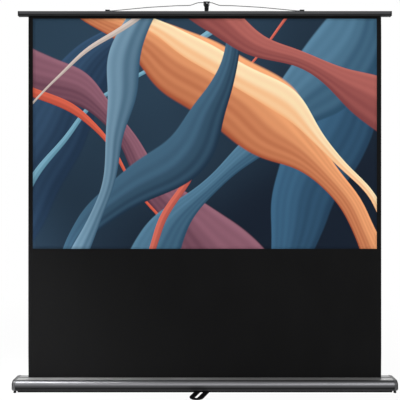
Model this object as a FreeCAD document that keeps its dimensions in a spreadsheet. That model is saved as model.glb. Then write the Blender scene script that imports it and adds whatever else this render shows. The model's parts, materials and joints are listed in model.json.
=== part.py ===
import FreeCAD, Part
import math
import os
import re
import Sketcher

# A pull-up projection screen that stands on the floor. A spring roller in the case holds the
# fabric, the top bar is hooked by its wire on a telescopic mast behind it, and a ring foot
# swings out under the case. Z is up, the screen faces -Y, and X runs along the case.

DOC = FreeCAD.newDocument("projection_screen")
SHEET = DOC.addObject("Spreadsheet::Sheet", "Sizes")
VECTOR = FreeCAD.Vector

SIZES = {
    # case: an extrusion with a slot in its top, and what closes its ends
    "case_length": 2164,
    "case_front": 62,
    "case_rear": 42,
    "case_floor": 14.5,
    "case_height": 57.5,
    "case_wall": 1.8,
    "front_corner_radius": 26,
    "rear_corner_radius": 6,
    "front_chamfer": 8,
    "groove_height": 10.5,
    "groove_depth": 1,
    "slot_width": 12,
    "slot_lip": 4,
    "port_radius": 4,
    "port_bore_radius": 1.7,
    "cap_thickness": 15,
    "cap_overlap": 0.8,
    "cap_edge_radius": 4,
    "tongue_length": 14,
    "tongue_thickness": 3,
    "bumper_thickness": 5,
    "bumper_inset": 1,
    "bumper_edge": 1.5,
    "screw_radius": 1.65,
    "screw_head_radius": 3.8,
    "screw_head_height": 2.4,
    "cap_screw_length": 30,
    "end_foot_radius": 8,
    "end_foot_flare": 1.5,
    "end_foot_inset": 13,
    "front_foot_reach": 45,
    "rear_foot_reach": 28,
    # rail under the case
    "rail_side_room": 12,
    "rail_front": 56,
    "rail_rear": 34,
    "rail_drop": 9,
    "rail_wall": 1.5,
    "rail_screw_inset": 110,
    "rail_screw_length": 9,
    # spring roller and the fabric on it
    "roller_setback": 20.5,
    "roller_height": 43,
    "roller_radius": 19,
    "roller_wall": 1.2,
    "roller_side_room": 49,
    "wrap_thickness": 0.7,
    "plug_flange": 4,
    "plug_depth": 25,
    "plug_fit": 0.1,
    "axle_radius": 4,
    "axle_head_radius": 7,
    "axle_head": 3,
    "idler_pin_depth": 20,
    "bush_radius": 9,
    "bush_thickness": 4.7,
    "roller_bracket_thickness": 3,
    "roller_bracket_flange": 22,
    "roller_bracket_half_width": 24,
    "roller_bracket_height": 46,
    "flange_screw_spread": 15,
    "flange_screw_length": 4.6,
    "spring_radius": 12,
    "spring_wire": 3,
    "spring_length": 400,
    "spring_anchor_length": 10,
    "felt_height": 3.4,
    "felt_gap": 0.35,
    "fabric_side_room": 56,
    "fabric_thickness": 0.5,
    "viewing_side_border": 26,
    "viewing_height": 1339,
    "viewing_top_border": 13,
    "viewing_thickness": 0.25,
    # top bar, with the wire it hangs from
    "bar_bottom": 2172,
    "bar_height": 28,
    "bar_band": 10,
    "bar_depth": 26,
    "bar_wall": 1.6,
    "bar_corner_radius": 4,
    "bar_side_room": 5,
    "bar_mouth": 3,
    "bar_cap_thickness": 7,
    "bar_cap_spigot": 16,
    "clamp_depth": 22,
    "hem_rod_radius": 2,
    "fabric_tuck": 3.5,
    "anchor_spread": 565,
    "anchor_length": 26,
    "anchor_depth": 15,
    "anchor_height": 9,
    "anchor_screw_shift": 6.5,
    "wire_radius": 2,
    "wire_axis_height": 4.6,
    "wire_arm_spread": 330,
    "wire_arm_rise": 24,
    "wire_shoulder_spread": 165,
    "wire_shoulder_rise": 35.5,
    "wire_kink_spread": 86,
    "wire_kink_rise": 37,
    "wire_arch_spread": 40,
    "wire_arch_rise": 57,
    "wire_arch_setback": 24,
    "wire_anchor_bend": 120,
    "wire_arm_bend": 900,
    "wire_shoulder_bend": 500,
    "wire_kink_bend": 60,
    "wire_arch_bend": 50,
    # mast behind the screen
    "mast_offset": 11,
    "pivot_height": 96,
    "mast_lower_radius": 14,
    "mast_middle_radius": 11.75,
    "mast_top_radius": 9.5,
    "mast_wall": 1.5,
    "mast_below_pivot": 14,
    "mast_lower_length": 758,
    "mast_middle_length": 770,
    "mast_overlap": 70,
    "mast_below_wire": 8,
    "base_plug_flange": 8,
    "base_plug_spigot": 30,
    "slide_plug_length": 12,
    "slide_plug_spigot": 15,
    "slide_plug_bore": 4,
    "collar_below": 28,
    "collar_above": 26,
    "collar_wall": 4.2,
    "collar_rib": 1.2,
    "collar_ribs": 12,
    "collar_rib_inset": 6,
    "collar_edge": 3,
    "hook_bottom_half_width": 11,
    "hook_body_half_width": 12.5,
    "hook_top_half_width": 18.5,
    "hook_socket_drop": 27,
    "hook_taper": 9,
    "hook_funnel": 9,
    "hook_shoulder": 5,
    "hook_crown": 8,
    "hook_socket_depth": 13,
    "hook_notch_width": 6.4,
    "hook_nose_thickness": 5.3,
    "hook_nose_height": 8,
    "hook_nose_bevel": 1.8,
    "hook_corner": 8,
    "hook_edge": 2,
    "hook_arm_thickness": 9,
    "hook_arm_slope": 18,
    "hook_pin_radius": 2,
    "hook_pin_drop": 13,
    # bracket, pivot and clip of the mast on the back of the case
    "mast_bracket_thickness": 3,
    "mast_bracket_half_width": 22,
    "mast_bracket_foot": 4,
    "mast_bracket_gap": 2,
    "mast_bracket_web_drop": 33,
    "mast_bracket_rise": 28,
    "stop_height": 12,
    "stop_thickness": 2.5,
    "pivot_radius": 4,
    "pivot_head_radius": 7.5,
    "pivot_head": 5,
    "pivot_nut_height": 6.5,
    "pivot_washer_radius": 11,
    "bracket_screw_spread": 15,
    "bracket_screw_low": 12,
    "bracket_screw_high": 30,
    "bracket_screw_length": 6,
    "clip_below_mouth": 55,
    "clip_length": 26,
    "clip_wall": 2.5,
    "clip_leg_drop": 52,
    "clip_rise": 11,
    "clip_screw_drop": 44,
    "clip_screw_spread": 6.5,
    # ring foot under the middle of the case
    "ring_length": 338,
    "ring_width": 80,
    "ring_limb": 31.5,
    "ring_end": 22,
    "ring_thickness": 4,
    "ring_bridge": 44,
    "ring_angle": 21,
    "pad_thickness": 1.2,
    "pad_radius": 8.5,
    "foot_pivot_radius": 5,
    "foot_pivot_head_radius": 10,
    "foot_pivot_head": 2.2,
    "foot_nut_height": 3.5,
    "foot_nut_radius": 8.5,
    "foot_spacer_radius": 13,
    # clearance between pieces that move past each other, and the play of a screw in its hole
    "running_gap": 0.3,
    "screw_play": 0.3,
    "thread_play": 0.05,
    "cut_overrun": 1,
}

# places worked out from the sizes
PLACES = {
    "case_top": "case_floor + case_height",
    "cap_inner": "case_length / 2",
    "cap_outer": "cap_inner + cap_thickness",
    "slot_half": "slot_width / 2",
    "port_front": "-case_front + case_wall + port_radius - port_sink",
    "port_rear": "case_rear - case_wall - port_radius + port_sink",
    "port_top": "case_top - case_wall - port_radius + port_sink",
    "port_bottom": "case_floor + case_wall + port_radius - port_sink",
    "port_sink": "case_wall / 2",
    "rail_bottom": "case_floor - rail_drop",
    "rail_length": "case_length - 2 * rail_side_room",
    "rail_screw_pitch": "(rail_length / 2 - rail_screw_inset) / 2",
    "roller_length": "case_length - 2 * roller_side_room",
    "fabric_width": "case_length - 2 * fabric_side_room",
    "viewing_width": "fabric_width - 2 * viewing_side_border",
    "bar_length": "case_length - 2 * bar_side_room",
    "roller_end": "roller_length / 2",
    "bracket_face": "roller_end + plug_flange + running_gap + bush_thickness",
    "wrap_radius": "roller_radius + wrap_thickness",
    "spring_start": "-roller_end + plug_depth + running_gap",
    "spring_end": "spring_start + spring_length",
    "fabric_top": "bar_bottom + bar_band + fabric_tuck",
    "bar_top": "bar_bottom + bar_height",
    "bar_shell_bottom": "bar_bottom + bar_band",
    "wire_axis": "bar_top + wire_axis_height",
    "wire_seat": "wire_axis + wire_arch_rise",
    "mast_lower_start": "pivot_height - mast_below_pivot",
    "mast_lower_end": "mast_lower_start + mast_lower_length",
    "mast_middle_start": "mast_lower_end - mast_overlap",
    "mast_middle_end": "mast_middle_start + mast_middle_length",
    "mast_top_start": "mast_middle_end - mast_overlap",
    "mast_top_end": "wire_seat - mast_below_wire",
    "clip_place": "mast_offset + mast_lower_end - pivot_height - clip_below_mouth",
    "ring_top": "pad_thickness + ring_thickness",
    "rail_web": "case_floor - rail_wall",
    "mast_setback": "case_rear + mast_bracket_thickness + mast_bracket_gap + mast_lower_radius",
    "ear_inner": "mast_setback - mast_lower_radius - mast_bracket_gap",
    "ear_outer": "mast_setback + mast_lower_radius + mast_bracket_gap",
    "bracket_top": "pivot_height + mast_bracket_rise",
}

NODES = []
PLACE_WORD = re.compile(r"[a-z][a-z_0-9]*")


def fill_sheet():
    """One row for each size: its name, and its value in a cell that carries the name."""
    for row, (name, value) in enumerate(SIZES.items(), 1):
        SHEET.set(f"A{row}", name)
        SHEET.set(f"B{row}", str(value))
        SHEET.setAlias(f"B{row}", name)
    DOC.recompute()


def bound(text):
    """The expression on the sheet's cells that a sum of sizes and places stands for."""

    def spell(match):
        word = match.group(0)
        if word in PLACES:
            return "(" + bound(PLACES[word]) + ")"
        return "Sizes." + word if word in SIZES else word

    return PLACE_WORD.sub(spell, text)


def number(text):
    return float(SHEET.evalExpression(bound(text)))


def set_place(item, x, y, z, axis="Z"):
    """Moves a piece made along Z to its place, and lays it along X or Y where asked."""
    turns = {
        "Z": FreeCAD.Rotation(),
        "X": FreeCAD.Rotation(VECTOR(0, 1, 0), 90),
        "Y": FreeCAD.Rotation(VECTOR(1, 0, 0), -90),
    }
    item.Placement = FreeCAD.Placement(VECTOR(), turns[axis])
    for side, text in zip("xyz", (x, y, z)):
        item.setExpression(f"Placement.Base.{side}", bound(text))
    return item


def keep(label, item):
    """Names a finished piece. Its label is the name of its node."""
    item.Label = label
    NODES.append(item)
    return item


# outlines, and what is padded or turned from them


def arc_between(start, end, radius):
    """The short arc from start to end: to the left for a positive radius, else to the right."""
    step = end - start
    middle = (start + end) * 0.5
    rise = math.sqrt(max(radius * radius - step.Length * step.Length / 4, 0))
    side = VECTOR(-step.y, step.x, 0).normalize() * math.copysign(rise, radius)
    centre = middle + side
    first, last = (start, end) if radius > 0 else (end, start)
    angles = [math.atan2(p.y - centre.y, p.x - centre.x) for p in (first, last)]
    if angles[1] < angles[0]:
        angles[1] += 2 * math.pi
    circle = Part.Circle(centre, VECTOR(0, 0, 1), abs(radius))
    return Part.ArcOfCircle(circle, *angles)


def draw_loop(plan, loop):
    """Adds one closed loop: points (u, v), with a third value, the radius, where an arc arrives."""
    spots = [VECTOR(number(point[0]), number(point[1]), 0) for point in loop]
    first = plan.GeometryCount
    ends = []
    for index, point in enumerate(loop):
        start, end = spots[index - 1], spots[index]
        if len(point) == 2:
            plan.addGeometry(Part.LineSegment(start, end), False)
            ends.append((1, 2))
        else:
            radius = number(point[2])
            plan.addGeometry(arc_between(start, end, radius), False)
            ends.append((1, 2) if radius > 0 else (2, 1))
            row = plan.addConstraint(
                Sketcher.Constraint("Radius", first + index, abs(radius))
            )
            plan.setExpression(f"Constraints[{row}]", bound(point[2].lstrip("-")))
    for index, point in enumerate(loop):
        following = (index + 1) % len(loop)
        plan.addConstraint(
            Sketcher.Constraint(
                "Coincident",
                first + index,
                ends[index][1],
                first + following,
                ends[following][0],
            )
        )
        for kind, text, value in zip(
            ("DistanceX", "DistanceY"), point, (spots[index].x, spots[index].y)
        ):
            row = plan.addConstraint(
                Sketcher.Constraint(kind, -1, 1, first + index, ends[index][1], value)
            )
            plan.setExpression(f"Constraints[{row}]", bound(text))


def draw_circle(plan, u, v, radius):
    centre = VECTOR(number(u), number(v), 0)
    ring = plan.addGeometry(
        Part.Circle(centre, VECTOR(0, 0, 1), number(radius)), False
    )
    rules = (
        (Sketcher.Constraint("DistanceX", -1, 1, ring, 3, centre.x), u),
        (Sketcher.Constraint("DistanceY", -1, 1, ring, 3, centre.y), v),
        (Sketcher.Constraint("Radius", ring, number(radius)), radius),
    )
    for rule, text in rules:
        row = plan.addConstraint(rule)
        plan.setExpression(f"Constraints[{row}]", bound(text))


def draw(body, role, loops, shift="0"):
    """A sketch on one of the body's own planes. A loop of three words is a circle."""
    plan = body.newObject("Sketcher::SketchObject", "Outline")
    plane = next(face for face in body.Origin.OriginFeatures if face.Role == role)
    plan.AttachmentSupport = (plane, [""])
    plan.MapMode = "FlatFace"
    plan.setExpression("AttachmentOffset.Base.z", bound(shift))
    for loop in loops:
        if isinstance(loop[0], str):
            draw_circle(plan, *loop)
        else:
            draw_loop(plan, loop)
    return plan


def pad(name, role, loops, start, length):
    """A body padded from an outline, from start to start + length along the plane's axis."""
    body = DOC.addObject("PartDesign::Body", name)
    shift = f"-({start} + {length})" if role == "XZ_Plane" else start
    plan = draw(body, role, loops, shift)
    solid = body.newObject("PartDesign::Pad", "Length")
    solid.Profile = plan
    solid.setExpression("Length", bound(length))
    DOC.recompute()
    return body


def turned(name, points, x, y, z, axis="Z"):
    """A turned piece: points are radius and height, and its own axis is laid along the last."""
    body = DOC.addObject("PartDesign::Body", name)
    plan = draw(body, "XZ_Plane", [points])
    solid = body.newObject("PartDesign::Revolution", "Turn")
    solid.Profile = plan
    solid.ReferenceAxis = (plan, ["V_Axis"])
    solid.Angle = 360
    set_place(body, x, y, z, axis)
    DOC.recompute()
    return body


def sleeve(inner, outer, length, x, y, z, axis="Z"):
    """A straight tube."""
    points = [(inner, "0"), (outer, "0"), (outer, length), (inner, length)]
    return turned("Sleeve", points, x, y, z, axis)


def rod(radius, length, x, y, z, axis="Z"):
    item = DOC.addObject("Part::Cylinder", "Rod")
    item.setExpression("Radius", bound(radius))
    item.setExpression("Height", bound(length))
    return set_place(item, x, y, z, axis)


def block(length, width, height, x, y, z):
    item = DOC.addObject("Part::Box", "Block")
    for side, text in zip(("Length", "Width", "Height"), (length, width, height)):
        item.setExpression(side, bound(text))
    return set_place(item, x, y, z)


def fused(*items):
    item = DOC.addObject("Part::MultiFuse", "Joined")
    item.Shapes = list(items)
    return item


def less(base, *tools):
    item = DOC.addObject("Part::Cut", "Cut")
    item.Base = base
    item.Tool = tools[0] if len(tools) == 1 else fused(*tools)
    return item


def group(*items):
    """Separate solids that share one node."""
    item = DOC.addObject("Part::Compound", "Group")
    item.Links = list(items)
    return item


def round_face(body, radius, is_face):
    """Rounds the edges of the flat face that is_face picks."""
    base = body.Tip
    names = [
        f"Face{index}"
        for index, face in enumerate(base.Shape.Faces, 1)
        if is_face(face)
    ]
    edge = body.newObject("PartDesign::Fillet", "Edge")
    edge.Base = (base, names)
    edge.setExpression("Radius", bound(radius))
    DOC.recompute()
    return body


def screw(x, y, z, axis, turn, length):
    """A pan-head screw: the head's seat is at the given point and the shank runs along turn * axis."""
    points = [
        ("0", f"-({length})"),
        ("screw_radius", f"-({length})"),
        ("screw_radius", "0"),
        ("screw_head_radius", "0"),
        ("screw_head_radius", "screw_head_height / 2"),
        ("screw_radius", "screw_head_height"),
        ("0", "screw_head_height"),
    ]
    if turn > 0:
        points = [(radius, f"-({height})") for radius, height in reversed(points)]
    return turned("Screw", points, x, y, z, axis)


# the case


def case_outline(grow):
    """The closed outline of the case in Y and Z, with every side moved out by grow."""
    front = f"-case_front - {grow}"
    rear = f"case_rear + {grow}"
    top = f"case_top + {grow}"
    floor = f"case_floor - {grow}"
    front_radius = f"(front_corner_radius + {grow})"
    rear_radius = f"(rear_corner_radius + {grow})"
    return [
        (f"{front} + {front_radius}", top),
        (front, f"{top} - {front_radius}", front_radius),
        (front, f"{floor} + front_chamfer"),
        (f"{front} + front_chamfer", floor),
        (f"{rear} - {rear_radius}", floor),
        (rear, f"{floor} + {rear_radius}", rear_radius),
        (rear, f"{top} - {rear_radius}"),
        (f"{rear} - {rear_radius}", top, rear_radius),
    ]


def case_section():
    """The wall of the case: the outer side from the slot round to the slot, and back inside."""
    groove = "case_floor + groove_height"
    inner_rear = "rear_corner_radius - case_wall"
    inner_front = "front_corner_radius - case_wall"
    inner_top = "case_top - case_wall"
    lip = "case_top - slot_lip"
    return [
        ("-slot_half", "case_top"),
        ("-case_front + front_corner_radius", "case_top"),
        ("-case_front", "case_top - front_corner_radius", "front_corner_radius"),
        ("-case_front", f"{groove} + groove_depth"),
        ("-case_front + groove_depth", groove),
        ("-case_front", f"{groove} - groove_depth"),
        ("-case_front", "case_floor + front_chamfer"),
        ("-case_front + front_chamfer", "case_floor"),
        ("case_rear - rear_corner_radius", "case_floor"),
        ("case_rear", "case_floor + rear_corner_radius", "rear_corner_radius"),
        ("case_rear", "case_top - rear_corner_radius"),
        ("case_rear - rear_corner_radius", "case_top", "rear_corner_radius"),
        ("slot_half", "case_top"),
        ("slot_half", lip),
        ("slot_half + case_wall", lip),
        ("slot_half + case_wall", inner_top),
        ("case_rear - rear_corner_radius", inner_top),
        ("case_rear - case_wall", "case_top - rear_corner_radius", f"-({inner_rear})"),
        ("case_rear - case_wall", "case_floor + rear_corner_radius"),
        ("case_rear - rear_corner_radius", "case_floor + case_wall", f"-({inner_rear})"),
        ("-case_front + front_chamfer", "case_floor + case_wall"),
        ("-case_front + case_wall", "case_floor + front_chamfer"),
        ("-case_front + case_wall", "case_top - front_corner_radius"),
        ("-case_front + front_corner_radius", inner_top, f"-({inner_front})"),
        ("-slot_half - case_wall", inner_top),
        ("-slot_half - case_wall", lip),
        ("-slot_half", lip),
    ]


PORTS = (
    ("port_front", "port_bottom"),
    ("port_rear", "port_bottom"),
    ("port_rear", "port_top"),
)
ENDS = (("", "right"), ("-", "left"))


def make_case():
    """The extrusion, with a screw port in three of its corners and its drilled holes."""
    wall = pad("CaseWall", "YZ_Plane", [case_section()], "-cap_inner", "case_length")
    ports = [rod("port_radius", "case_length", "-cap_inner", y, z, "X") for y, z in PORTS]
    bores = [rod("port_bore_radius", "case_length", "-cap_inner", y, z, "X") for y, z in PORTS]
    floor_holes = [
        rod("screw_radius + thread_play", "case_wall + 2 * cut_overrun", x, y, "case_floor - cut_overrun")
        for x, y in rail_screw_places() + bracket_flange_places()
    ]
    pivot_hole = rod(
        "foot_pivot_radius + thread_play",
        "case_wall + 2 * cut_overrun",
        "0",
        "0",
        "case_floor - cut_overrun",
    )
    rear_holes = [
        rod(
            "screw_radius + thread_play",
            "case_wall + 2 * cut_overrun",
            x,
            "case_rear - case_wall - cut_overrun",
            z,
            "Y",
        )
        for x, z in mast_bracket_places() + clip_places()
    ]
    shell = less(fused(wall, *ports), *bores, *floor_holes, pivot_hole, *rear_holes)
    keep("case_extrusion", shell)


def end_span(side, start, length):
    """Where a pad starts, for a piece that begins start away from the middle at that end."""
    return start if side == "" else f"-({start}) - ({length})"


def make_end(side, name):
    """The moulded cap, its black bumper and the places of its screws at one end."""
    sign = -1 if side else 1

    def outer_face(distance):
        return lambda face: abs(face.CenterOfMass.x - sign * number(distance)) < number("thread_play")

    cap_start = end_span(side, "cap_inner", "cap_thickness")
    cap = pad("Cap", "YZ_Plane", [case_outline("cap_overlap")], cap_start, "cap_thickness")
    round_face(cap, "cap_edge_radius", outer_face("cap_outer"))
    reach = "tongue_length + cap_thickness / 2"
    tongue = block(
        reach,
        "2 * roller_bracket_half_width",
        "tongue_thickness",
        end_span(side, "cap_inner - tongue_length", reach),
        "-roller_setback - roller_bracket_half_width",
        "case_floor + case_wall + running_gap",
    )
    drill_start = end_span(side, "cap_inner - cut_overrun", "cap_thickness + 2 * cut_overrun")
    holes = [
        rod("screw_radius + screw_play", "cap_thickness + 2 * cut_overrun", drill_start, y, z, "X")
        for y, z in PORTS
    ]
    keep(f"{name}_end_cap", less(fused(cap, tongue), *holes))

    bumper_start = end_span(side, "cap_outer", "bumper_thickness")
    bumper = pad(
        "Bumper", "YZ_Plane", [case_outline("(-bumper_inset)")], bumper_start, "bumper_thickness"
    )
    round_face(bumper, "bumper_edge", outer_face("cap_outer + bumper_thickness"))
    depth = "bumper_thickness + 2 * cut_overrun"
    well_start = end_span(side, "cap_outer - cut_overrun", depth)
    wells = [
        rod("screw_head_radius + screw_play", depth, well_start, y, z, "X") for y, z in PORTS
    ]
    keep(f"{name}_end_bumper", less(bumper, *wells))


def make_ends():
    for side, name in ENDS:
        make_end(side, name)
    screws = [
        screw(f"{side}(cap_outer)", y, z, "X", 1 if side else -1, "cap_screw_length")
        for side, name in ENDS
        for y, z in PORTS
    ]
    keep("cap_screws", group(*screws))
    points = [
        ("0", "0"),
        ("end_foot_radius", "0"),
        ("end_foot_radius", "end_foot_flare"),
        ("end_foot_radius - end_foot_flare", "case_floor - cap_overlap"),
        ("0", "case_floor - cap_overlap"),
    ]
    feet = [
        turned("Foot", points, f"{side}(cap_outer + bumper_thickness - end_foot_inset)", y, "0")
        for side, name in ENDS
        for y in ("-front_foot_reach", "rear_foot_reach")
    ]
    keep("end_feet", group(*feet))


def rail_screw_places():
    return [(f"{step} * rail_screw_pitch", "0") for step in (-2, -1, 1, 2)]


def make_rail():
    """The black channel under the case, open below, and its screws."""
    section = [
        ("-rail_front", "case_floor"),
        ("-rail_front", "rail_bottom"),
        ("-rail_front + rail_wall", "rail_bottom"),
        ("-rail_front + rail_wall", "rail_web"),
        ("rail_rear - rail_wall", "rail_web"),
        ("rail_rear - rail_wall", "rail_bottom"),
        ("rail_rear", "rail_bottom"),
        ("rail_rear", "case_floor"),
    ]
    rail = pad("Rail", "YZ_Plane", [section], "-rail_length / 2", "rail_length")
    depth = "rail_wall + 2 * cut_overrun"
    holes = [
        rod("screw_radius + screw_play", depth, x, y, "rail_web - cut_overrun")
        for x, y in rail_screw_places()
    ]
    pivot_hole = rod("foot_pivot_radius + thread_play", depth, "0", "0", "rail_web - cut_overrun")
    keep("base_rail", less(rail, *holes, pivot_hole))
    screws = [screw(x, y, "rail_web", "Z", 1, "rail_screw_length") for x, y in rail_screw_places()]
    keep("rail_screws", group(*screws))


def make_felts():
    """Two strips that line the slot and wipe the fabric."""
    front = "fabric_thickness + viewing_thickness + felt_gap"
    for name, start, depth in (
        ("slot_felt_front", "-slot_half", f"slot_half - ({front})"),
        ("slot_felt_rear", "felt_gap", "slot_half - felt_gap"),
    ):
        strip = block(
            "case_length", depth, "felt_height", "-cap_inner", start, "case_top - slot_lip"
        )
        keep(name, strip)


# the spring roller


def roller_piece(name, points, x, turn=1):
    """A piece turned on the roller's axis, its heights running along +X, or -X for a turn of -1."""
    if turn < 0:
        points = [(radius, f"-({height})") for radius, height in reversed(points)]
    return turned(name, points, x, "-roller_setback", "roller_height", "X")


def roller_sleeve(inner, outer, length, x):
    return sleeve(inner, outer, length, x, "-roller_setback", "roller_height", "X")


def make_roller():
    bore = "roller_radius - roller_wall"
    keep("roller_tube", roller_sleeve(bore, "roller_radius", "roller_length", "-roller_end"))
    keep("fabric_wraps", roller_sleeve("roller_radius", "wrap_radius", "fabric_width", "-fabric_width / 2"))
    plug = [
        ("axle_radius + running_gap", "-plug_depth"),
        (f"{bore} - plug_fit", "-plug_depth"),
        (f"{bore} - plug_fit", "0"),
        ("roller_radius", "0"),
        ("roller_radius", "plug_flange"),
        ("axle_radius + running_gap", "plug_flange"),
    ]
    keep("roller_idler_plug", roller_piece("Plug", plug, "roller_end"))
    keep("roller_spring_plug", roller_piece("Plug", plug, "-roller_end", -1))


def bracket_flange_places():
    """The screws of the roller brackets, in the floor of the case."""
    return [
        (f"{side}(bracket_face + roller_bracket_flange / 2)", f"-roller_setback {shift}")
        for side, name in ENDS
        for shift in ("- flange_screw_spread", "+ flange_screw_spread")
    ]


def make_roller_brackets():
    """An upright plate at each end, with a flange that is screwed to the floor of the case."""
    floor = "case_floor + case_wall"
    front = "-roller_setback - roller_bracket_half_width"
    rear = "-roller_setback + roller_bracket_half_width"
    outline = [
        (front, floor),
        (rear, floor),
        (rear, "roller_height"),
        ("-roller_setback + axle_head_radius", f"{floor} + roller_bracket_height"),
        ("-roller_setback - axle_head_radius", f"{floor} + roller_bracket_height"),
        (front, "roller_height"),
    ]
    hole = ("-roller_setback", "roller_height", "axle_radius + thread_play")
    for side, name in ENDS:
        start = end_span(side, "bracket_face", "roller_bracket_thickness")
        plate = pad("Plate", "YZ_Plane", [outline, hole], start, "roller_bracket_thickness")
        flange = block(
            "roller_bracket_flange",
            "2 * roller_bracket_half_width",
            "roller_bracket_thickness",
            end_span(side, "bracket_face", "roller_bracket_flange"),
            front,
            floor,
        )
        drill = [
            rod(
                "screw_radius + screw_play",
                "roller_bracket_thickness + 2 * cut_overrun",
                x,
                y,
                f"{floor} - cut_overrun",
            )
            for x, y in bracket_flange_places()
            if x.startswith("-") == (side == "-")
        ]
        keep(f"{name}_roller_bracket", less(fused(plate, flange), *drill))
    screws = [
        screw(x, y, f"{floor} + roller_bracket_thickness", "Z", -1, "flange_screw_length")
        for x, y in bracket_flange_places()
    ]
    keep("roller_bracket_screws", group(*screws))


def make_roller_axles():
    """Bushes in both brackets, the idler pin on the right, and the fixed spring shaft on the left."""
    bushes = [
        roller_sleeve(
            "axle_radius + thread_play",
            "bush_radius",
            "bush_thickness",
            end_span(side, "bracket_face - bush_thickness", "bush_thickness"),
        )
        for side, name in ENDS
    ]
    keep("roller_bushes", group(*bushes))
    plate = "bracket_face + roller_bracket_thickness"

    def axle(length):
        return [
            ("0", f"-({length})"),
            ("axle_radius", f"-({length})"),
            ("axle_radius", "0"),
            ("axle_head_radius", "0"),
            ("axle_head_radius", "axle_head"),
            ("0", "axle_head"),
        ]

    keep("idler_pin", roller_piece("Pin", axle(f"{plate} - roller_end + idler_pin_depth"), plate))
    inner_end = "spring_end + spring_anchor_length"
    keep("spring_shaft", roller_piece("Shaft", axle(f"{inner_end} + {plate}"), f"-({plate})", -1))
    spring = roller_sleeve("spring_radius - spring_wire", "spring_radius", "spring_length", "spring_start")
    keep("torsion_spring", spring)
    anchor = roller_sleeve(
        "axle_radius + thread_play", "spring_radius", "spring_anchor_length", "spring_end"
    )
    keep("spring_anchor", anchor)


# fabric


def make_fabric():
    sheet = block(
        "fabric_width",
        "fabric_thickness",
        "fabric_top - roller_height",
        "-fabric_width / 2",
        "-fabric_thickness",
        "roller_height",
    )
    keep("fabric_sheet", sheet)
    surface = block(
        "viewing_width",
        "viewing_thickness",
        "viewing_height",
        "-viewing_width / 2",
        "-fabric_thickness - viewing_thickness",
        "bar_bottom - viewing_top_border - viewing_height",
    )
    keep("viewing_surface", surface)


# top bar and its lifting wire


def bar_section():
    """The bar's wall, open below where the fabric goes in."""
    half = "bar_depth / 2"
    shoulder = "bar_top - bar_corner_radius"
    inner_radius = "bar_corner_radius - bar_wall"
    flat = f"{half} - bar_corner_radius"
    inside = f"{half} - bar_wall"
    inner_floor = "bar_shell_bottom + bar_wall"
    mouth = "bar_mouth / 2"
    return [
        (mouth, "bar_shell_bottom"),
        (half, "bar_shell_bottom"),
        (half, shoulder),
        (flat, "bar_top", "bar_corner_radius"),
        (f"-({flat})", "bar_top"),
        (f"-({half})", shoulder, "bar_corner_radius"),
        (f"-({half})", "bar_shell_bottom"),
        (f"-({mouth})", "bar_shell_bottom"),
        (f"-({mouth})", inner_floor),
        (f"-({inside})", inner_floor),
        (f"-({inside})", shoulder),
        (f"-({flat})", "bar_top - bar_wall", f"-({inner_radius})"),
        (flat, "bar_top - bar_wall"),
        (inside, shoulder, f"-({inner_radius})"),
        (inside, inner_floor),
        (mouth, inner_floor),
    ]


def anchor_screw_places():
    return [(f"{side}(anchor_spread + anchor_screw_shift)", "0") for side, name in ENDS]


def make_bar():
    shell = pad("BarShell", "YZ_Plane", [bar_section()], "-bar_length / 2", "bar_length")
    holes = [
        rod(
            "screw_radius + thread_play",
            "bar_wall + 2 * cut_overrun",
            x,
            y,
            "bar_top - bar_wall - cut_overrun",
        )
        for x, y in anchor_screw_places()
    ]
    keep("top_bar", less(shell, *holes))
    front = "fabric_thickness + running_gap"
    strips = [
        block("bar_length", depth, "bar_band", "-bar_length / 2", start, "bar_bottom")
        for start, depth in (
            ("-clamp_depth / 2", f"clamp_depth / 2 - ({front})"),
            ("running_gap", "clamp_depth / 2 - running_gap"),
        )
    ]
    keep("hem_clamp_strips", group(*strips))
    hem = rod(
        "hem_rod_radius",
        "bar_length - 2 * bar_cap_spigot - 2 * cut_overrun",
        "-bar_length / 2 + bar_cap_spigot + cut_overrun",
        "-fabric_thickness / 2",
        "fabric_top + running_gap + hem_rod_radius",
        "X",
    )
    keep("hem_rod", hem)
    for side, name in ENDS:
        make_bar_cap(side, name)


def make_bar_cap(side, name):
    half = "bar_depth / 2"
    shoulder = "bar_top - bar_corner_radius"
    outline = [
        (f"-({half})", "bar_bottom"),
        (half, "bar_bottom"),
        (half, shoulder),
        (f"{half} - bar_corner_radius", "bar_top", "bar_corner_radius"),
        (f"-({half} - bar_corner_radius)", "bar_top"),
        (f"-({half})", shoulder, "bar_corner_radius"),
    ]
    start = end_span(side, "bar_length / 2", "bar_cap_thickness")
    cover = pad("BarCap", "YZ_Plane", [outline], start, "bar_cap_thickness")
    reach = "bar_cap_spigot + bar_cap_thickness / 2"
    spigot = block(
        reach,
        "bar_depth - 2 * bar_wall - 2 * bar_corner_radius",
        "bar_height - bar_band - 2 * bar_wall - 2 * running_gap",
        end_span(side, "bar_length / 2 - bar_cap_spigot", reach),
        "-bar_depth / 2 + bar_wall + bar_corner_radius",
        "bar_shell_bottom + bar_wall + running_gap",
    )
    keep(f"{name}_bar_cap", fused(cover, spigot))


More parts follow.
